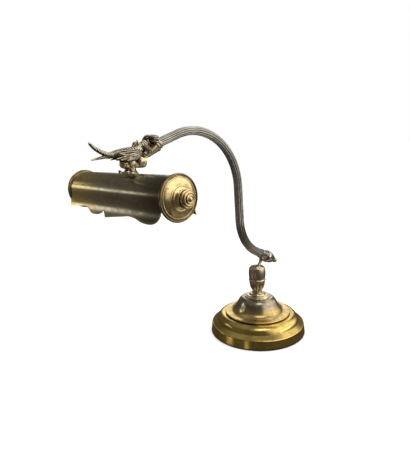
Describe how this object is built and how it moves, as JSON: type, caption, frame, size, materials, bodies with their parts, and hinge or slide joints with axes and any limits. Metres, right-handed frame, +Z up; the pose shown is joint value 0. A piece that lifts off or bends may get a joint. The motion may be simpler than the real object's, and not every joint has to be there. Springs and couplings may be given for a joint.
{
  "type": "desk lamp",
  "caption": "Desk lamp with a weighted round foot, a reeded swan-neck arm on ball joints, and a long brass shade with a scalloped edge and a winged dragon on top.",
  "frame": {"origin": "centre of the foot's underside, on the surface it stands on", "axes": "+Z up; the arm reaches towards -Y; the shade lies along X"},
  "size_m": [0.247, 0.3816, 0.3521],
  "materials": {
    "foot_brass": "polished",
    "bell_brass": "polished, darkened",
    "aged_brass": "satin, aged",
    "joint_brass": "satin",
    "shade_brass": "satin, darkened",
    "cap_brass": "satin",
    "figure_brass": "cast, dark in the hollows",
    "iron": "rough",
    "steel": "plain",
    "felt": "matt",
    "moulding": "matt",
    "holder": "gloss",
    "bulb_metal": "bright",
    "bulb_glass": "clear"
  },
  "bodies": {
    "foot": {"felt_pad": "felt", "base_shell": "foot_brass", "base_weight": "iron", "cord_bush": "moulding", "base_dome": "bell_brass", "dome_collar": "bell_brass", "base_rod": "steel", "rod_washer": "steel", "rod_nut": "steel", "column_cup": "joint_brass", "cup_bead": "foot_brass", "seat_spring": "steel", "socket_nut": "aged_brass"},
    "lower_seat": {"ball_seat": "moulding"},
    "arm": {"column_ball": "joint_brass", "arm_elbow": "aged_brass", "elbow_dome": "joint_brass", "dome_button": "aged_brass", "arm_tube": "aged_brass", "arm_sleeve": "joint_brass", "shade_ball": "joint_brass"},
    "upper_seat": {"ball_pad": "moulding"},
    "shade": {"socket_cap": "cap_brass", "shade_bracket": "figure_brass", "bracket_screws": "figure_brass", "bracket_nuts": "steel", "dragon_body": "figure_brass", "dragon_head": "figure_brass", "dragon_crest": "figure_brass", "dragon_wings": "figure_brass", "dragon_legs": "figure_brass", "dragon_tail": "figure_brass", "shade_shell": "shade_brass", "end_cap_left": "cap_brass", "end_cap_right": "cap_brass", "finial_left": "cap_brass", "finial_right": "cap_brass", "cap_nipples": "steel", "cap_nuts": "steel", "lamp_holder": "holder", "bulb_cap": "bulb_metal", "bulb_glass": "bulb_glass"}
  },
  "joints": [
    {"name": "arm_swivel", "type": "hinge", "parent": "foot", "child": "lower_seat", "pos_m": [0, 0, 0.1096], "axis": [0, 0, 1], "range_deg": [-170, 170]},
    {"name": "arm_lean", "type": "hinge", "parent": "lower_seat", "child": "arm", "pos_m": [0, 0, 0.1096], "axis": [1, 0, 0], "range_deg": [-5, 40]},
    {"name": "shade_tilt", "type": "hinge", "parent": "arm", "child": "upper_seat", "pos_m": [0, -0.22695, 0.30784], "axis": [1, 0, 0], "range_deg": [0, 35]},
    {"name": "shade_roll", "type": "hinge", "parent": "upper_seat", "child": "shade", "pos_m": [0, -0.22695, 0.30784], "axis": [0, 0.9962, 0.0872], "range_deg": [-6, 6]}
  ]
}
